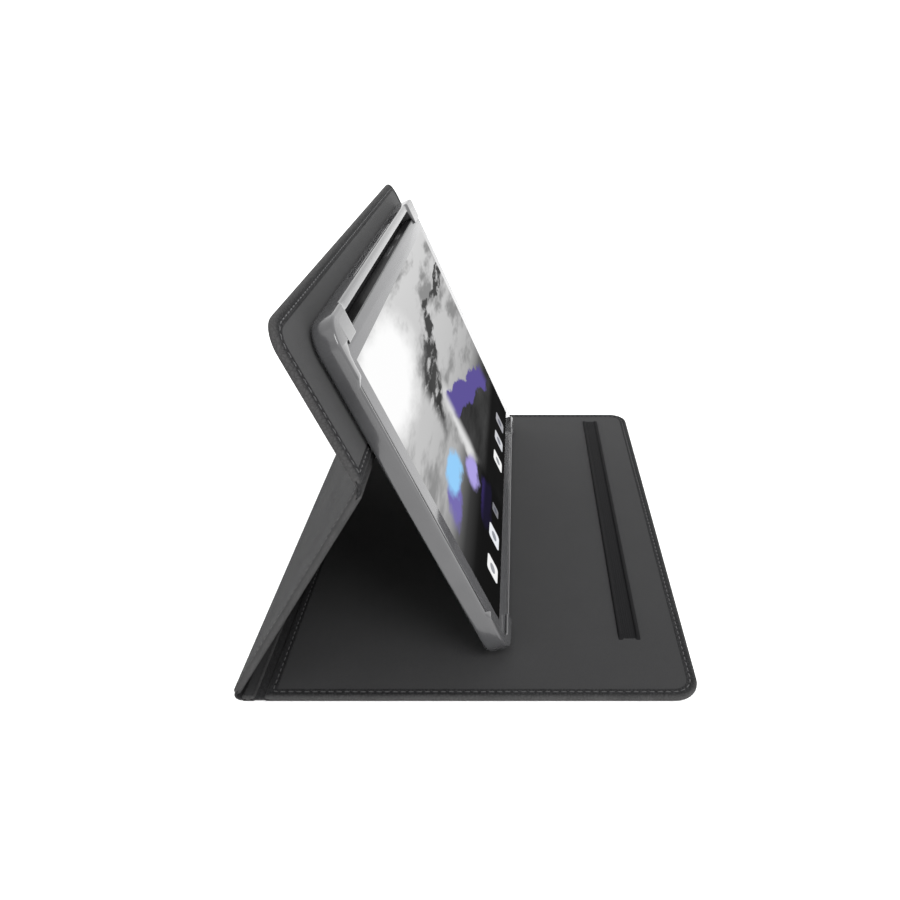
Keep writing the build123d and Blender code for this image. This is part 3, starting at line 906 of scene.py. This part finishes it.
def near_corner(base, start, end):
    """Outline points and ways inwards round a near corner whose centre is at that level."""
    for turn in np.linspace(start, end, 15)[1:-1]:
        way = (math.cos(math.radians(turn)), math.sin(math.radians(turn)))
        yield (TRAY_CORNER * (1 + way[0]), base + TRAY_CORNER * way[1]), (-way[0], -way[1])


def tray_stations():
    """Places along the tray's U: far lower end, round the two near corners, far upper end.
    Each gives the outline point, the way inwards, how far the far corner cuts in, the clip's share,
    the pocket's inset and how far the wall's end is."""
    far = tray_length - TRAY_OPEN_END
    fine = np.arange(CLIP_LENGTH - CLIP_FADE - 0.5, CLIP_LENGTH + CLIP_FADE + 0.5, 0.5)
    straight = np.linspace(TRAY_CORNER, tray_length / 2, 30)
    straight = np.unique(np.round(np.concatenate([straight, fine]), 3))
    runs = np.concatenate([straight, tray_length - straight])
    tail = far - np.array((0, 0.1, 0.35, 0.7, 1.1, 1.6, 2.4, 3.4, 4.6))
    runs = np.unique(np.round(np.concatenate([runs[runs < far - 5.5], tail]), 3))
    rises = straight[straight < tray_height / 2]
    rises = np.unique(np.round(np.concatenate([rises, tray_height - rises]), 3))
    places = [((x, 0.0), (0.0, 1.0)) for x in runs[::-1]]
    places += near_corner(TRAY_CORNER, 270, 180)
    places += [((0.0, y), (1.0, 0.0)) for y in rises]
    places += near_corner(tray_height - TRAY_CORNER, 180, 90)
    places += [((x, tray_height), (0.0, -1.0)) for x in runs]
    made = []
    for point, inwards in places:
        away_x = min(point[0], tray_length - point[0])
        away_y = min(point[1], tray_height - point[1])
        beyond = smooth(max(away_x, away_y), CLIP_LENGTH - CLIP_FADE, CLIP_LENGTH + CLIP_FADE)
        clip = 1 - float(beyond)
        over = max(point[0] - (tray_length - TRAY_CORNER), 0.0)
        cut = TRAY_CORNER - math.sqrt(TRAY_CORNER**2 - over**2)
        made.append((point, inwards, cut, clip, pocket_inset(point, inwards, clip), far - point[0]))
    return made


def wall_profile(clip, cut, wall, total):
    """Cross-section of the tray's wall as (inset, level) points, closed."""
    low_top = total - LIP_THICKNESS
    top = low_top + LIP_THICKNESS * clip
    reach = wall + LIP_REACH * clip
    points = []
    for turn in np.linspace(0, 90, 7):
        angle = math.radians(turn)
        points.append((BACK_ROUND * (1 - math.sin(angle)), BACK_ROUND * (1 - math.cos(angle))))
    points += [(0.0, 4.0), (0.0, 6.0)]
    for turn in np.linspace(0, 90, 6):
        angle = math.radians(turn)
        points.append((RIM_ROUND * (1 - math.cos(angle)), top - RIM_ROUND + RIM_ROUND * math.sin(angle)))
    tip = min(TIP_ROUND, reach - RIM_ROUND - 0.05)
    for turn in np.linspace(90, 0, 5):
        angle = math.radians(turn)
        points.append((reach - tip + tip * math.cos(angle), top - tip + tip * math.sin(angle)))
    under = max(reach - tip, wall)
    points.append((reach - 0.25 * (reach - under), top - 0.9 * LIP_THICKNESS))
    points.append((under, top - LIP_THICKNESS))
    points.append((wall, top - LIP_THICKNESS - 0.02))
    points += [(wall, 6.0), (wall, 3.0), (wall, TRAY_BACK + 0.5)]
    points += [(wall + 0.15, TRAY_BACK + 0.15), (wall + 0.5, TRAY_BACK)]
    points += [(wall + 0.5, 0.02), (wall, 0.0)]
    return np.array([(max(inset, cut), level) for inset, level in points])


def tray_wall():
    """The tray's walls with their clips: the cross-section swept along the U."""
    stations = tray_stations()
    points, count = [], None
    for point, inwards, cut, clip, wall, near_end in stations:
        profile = wall_profile(clip, cut, wall, tray_depth)
        if near_end < END_ROUND:
            shrink = math.sqrt(max(1 - (1 - near_end / END_ROUND) ** 2, 0.0))
            middle = np.array(((cut + wall) / 2, tray_depth / 2))
            thinned = np.array((0.35 + 0.65 * shrink, 0.86 + 0.14 * shrink))
            profile = middle + (profile - middle) * thinned
        a = point[0] + profile[:, 0] * inwards[0]
        b = point[1] + profile[:, 0] * inwards[1]
        points.append(tray_flat.place(a, b, profile[:, 1]))
        count = len(profile)
    faces = []
    for i in range(len(stations) - 1):
        for j in range(count):
            one, two = i * count + j, i * count + (j + 1) % count
            faces.append((one, two, two + count, one + count))
    faces.append(tuple(range(count))[::-1])
    last = (len(stations) - 1) * count
    faces.append(tuple(range(last, last + count)))
    return np.concatenate(points), faces


def rounded_bar(flat, low, high, radius, axis):
    """Cutter: a box whose corners are rounded round one local axis."""
    others = [k for k in range(3) if k != axis]
    points, faces, ring = [], [], []
    for centre, start in (
        ((1, 1), 0), ((0, 1), 90), ((0, 0), 180), ((1, 0), 270),
    ):
        for turn in np.linspace(0, 90, 7):
            angle = math.radians(start + turn)
            spot = []
            for which, other in enumerate(others):
                edge = high[other] - radius if centre[which] else low[other] + radius
                spot.append(edge + radius * (math.cos(angle) if which == 0 else math.sin(angle)))
            ring.append(spot)
    for level in (low[axis], high[axis]):
        for spot in ring:
            local = [0.0, 0.0, 0.0]
            local[axis] = level
            local[others[0]], local[others[1]] = spot
            points.append(local)
    count = len(ring)
    for j in range(count):
        k = (j + 1) % count
        faces.append((j, k, k + count, j + count))
    faces.append(tuple(range(count))[::-1])
    faces.append(tuple(range(count, 2 * count)))
    points = np.array(points)
    return flat.place(points[:, 0], points[:, 1], points[:, 2]), faces


def round_cutter(flat, a, b, radius, reach):
    """Cutter: a bar round a place, along c."""
    low, high = (a - radius, b - radius, reach[0]), (a + radius, b + radius, reach[1])
    return rounded_bar(flat, low, high, radius - CUTTER_SEAM, 2)


def cut_away(target, cutters):
    """Subtract closed meshes from a piece and keep the result."""
    tools = []
    for k, (points, faces) in enumerate(cutters):
        mesh = bpy.data.meshes.new(f"cutter_{k}")
        mesh.from_pydata([tuple(p) for p in points], [], faces)
        tool = bpy.data.objects.new(f"cutter_{k}", mesh)
        bpy.context.scene.collection.objects.link(tool)
        bm = bmesh.new()
        bm.from_mesh(mesh)
        bmesh.ops.recalc_face_normals(bm, faces=bm.faces)
        bm.to_mesh(mesh)
        bm.free()
        modifier = target.modifiers.new(f"cut_{k}", "BOOLEAN")
        modifier.operation, modifier.solver, modifier.object = "DIFFERENCE", "EXACT", tool
        tools.append(tool)
    bpy.context.view_layer.update()
    ready = target.evaluated_get(bpy.context.evaluated_depsgraph_get())
    mesh = bpy.data.meshes.new_from_object(ready)
    target.modifiers.clear()
    target.data = mesh
    mesh.set_sharp_from_angle(angle=math.radians(35))
    for tool in tools:
        bpy.data.objects.remove(tool)


wall_points, wall_faces = tray_wall()
walls = piece("tray_walls", wall_points, wall_faces, moulding, "back_panel", sharp=35.0)
slots = (
    (KEY_SLOT, (tray_height - UPPER_WALL - 1.5, tray_height + 1.0)),
    ((tray_length / 2 - PLUG_SLOT_HALF, tray_length / 2 + PLUG_SLOT_HALF), (-1.0, 4.0)),
)
cut_away(
    walls,
    [rounded_bar(tray_flat, *zip(*spans, SLOT_LEVELS), SLOT_ROUND, 1) for spans in slots],
)


def plate_face(level, edge):
    return lambda border, a, b: level + edge * rolled(border, PLATE_ROUND)


back_plate = slab(
    "tray_back_plate", tray_flat, (PLATE_INSET, tray_length, PLATE_INSET, tray_height - PLATE_INSET),
    (PLATE_CORNER, PLATE_CORNER), plate_face(TRAY_BACK, -1), plate_face(0.0, 1), dull_moulding,
    "back_panel", pitch=8.0,
)
window_at = (tray_length / 2, tray_height - CAMERA_BELOW_TOP)
notch = round_cutter(tray_flat, tray_length, tray_height / 2, THUMB_NOTCH, CUTTER_REACH)
window = round_cutter(tray_flat, *window_at, CAMERA_WINDOW, CUTTER_REACH)
cut_away(back_plate, [notch, window])
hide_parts("tray_shell")

hole = tray_flat.place(*window_at, 0.0)[0] - panel_flat.origin
hole_at = np.stack([panel_flat.a_dir, panel_flat.b_dir]) @ hole / MM
panel_window = round_cutter(panel_flat, *hole_at, CAMERA_WINDOW, PANEL_CUTTER_REACH)
for name in ("panel_skin", "panel_inner_cloth"):
    cut_away(bpy.data.objects[name], [panel_window])


# ---------------------------------------------------------------- foam tape


def foam_pad():
    """Foam tape between tray and back panel, a little squeezed, with the camera window through it."""
    low, high = panel_flat.extent("tray_pad")

    def squeezed(level, towards):
        return lambda border, a, b: level + towards * (
            rolled(border, PAD_ROUND) + PAD_SQUEEZE * (1 + field(a, b, 5.0, 4.0))
        )

    pad = slab(
        "tray_foam_pad", panel_flat, (low[0], high[0], low[1], high[1]), (PAD_CORNER, PAD_CORNER),
        squeezed(high[2], -1), squeezed(low[2], 1), foam, "back_panel", pitch=4.0,
    )
    cut_away(pad, [panel_window])
    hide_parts("tray_pad")


foam_pad()


# ---------------------------------------------------------------- carried-over CAD nodes


def keep_node(name, material, edge=0.0):
    """A CAD node that stays, with a procedural material and, where edge is given, softened edges."""
    node = frame["nodes"][name]
    node.data.materials.clear()
    node.data.materials.append(material)
    if edge:
        weld = node.modifiers.new("weld", "WELD")
        weld.merge_threshold = 1e-6
        flatten = node.modifiers.new("flatten", "DECIMATE")
        flatten.decimate_type, flatten.angle_limit = "DISSOLVE", math.radians(1.0)
        bevel = node.modifiers.new("bevel", "BEVEL")
        bevel.width, bevel.segments, bevel.limit_method = edge * MM, 3, "ANGLE"
        bevel.angle_limit = math.radians(40)
        bevel.harden_normals = True


keep_node("tablet_housing", satin, edge=0.35)
keep_node("tablet_glass", screen, edge=0.22)
keep_node("tablet_display", display)
keep_node("tablet_battery", foil, edge=0.8)
keep_node("tablet_logic_board", circuit)
keep_node("tablet_speakers", module, edge=0.5)
keep_node("tablet_connector", module, edge=0.2)
keep_node("tablet_camera", lens, edge=0.3)
keep_node("power_key", key_satin, edge=0.25)
keep_node("volume_key", key_satin, edge=0.25)


# ---------------------------------------------------------------- floor, light, camera


def floor_mesh():
    mesh = bpy.data.meshes.new("studio_floor")
    steps = np.linspace(-FLOOR_HALF, FLOOR_HALF, 13)
    a, b = np.meshgrid(steps, steps, indexing="ij")
    points = np.stack([a.ravel(), b.ravel(), np.full(a.size, FLOOR_LEVEL)], 1)
    mesh.from_pydata([tuple(p) for p in points], [], grid_faces(*a.shape))
    mesh.materials.append(floor_material())
    made = bpy.data.objects.new("studio_floor", mesh)
    bpy.context.scene.collection.objects.link(made)


def soft_light(name, place, aim, size, power):
    """An area light of that width and height in metres, and power in watts."""
    data = bpy.data.lights.new(name, "AREA")
    data.shape, data.size, data.size_y, data.energy = "RECTANGLE", size[0], size[1], power
    lamp = bpy.data.objects.new(name, data)
    bpy.context.scene.collection.objects.link(lamp)
    lamp.location = place
    lamp.rotation_euler = (Vector(aim) - Vector(place)).to_track_quat("-Z", "Y").to_euler()


floor_mesh()
world = bpy.data.worlds.new("studio")
bpy.context.scene.world = world
world.use_nodes = True
surroundings = world.node_tree.nodes["Background"].inputs
surroundings["Color"].default_value = (1.0, 1.0, 1.0, 1.0)
surroundings["Strength"].default_value = SKY
soft_light("key_light", (0.75, -0.85, 1.15), aim=(0.0, 0.0, 0.04), size=(0.8, 0.8), power=17.0)
soft_light("fill_light", (-0.7, -0.9, 1.2), aim=(0.0, 0.0, 0.06), size=(1.2, 1.2), power=2.0)

camera_data = bpy.data.cameras.new("camera")
camera = bpy.data.objects.new("camera", camera_data)
bpy.context.scene.collection.objects.link(camera)
camera_data.sensor_width = CAMERA_SENSOR
camera_data.lens = CAMERA_LENS
camera_data.shift_x = CAMERA_SHIFT
camera_data.clip_start = 0.01
camera.location = CAMERA_PLACE
camera.rotation_euler = (math.radians(90 - CAMERA_DOWN), 0.0, 0.0)
bpy.context.scene.camera = camera

bpy.context.scene.view_settings.view_transform = "Standard"
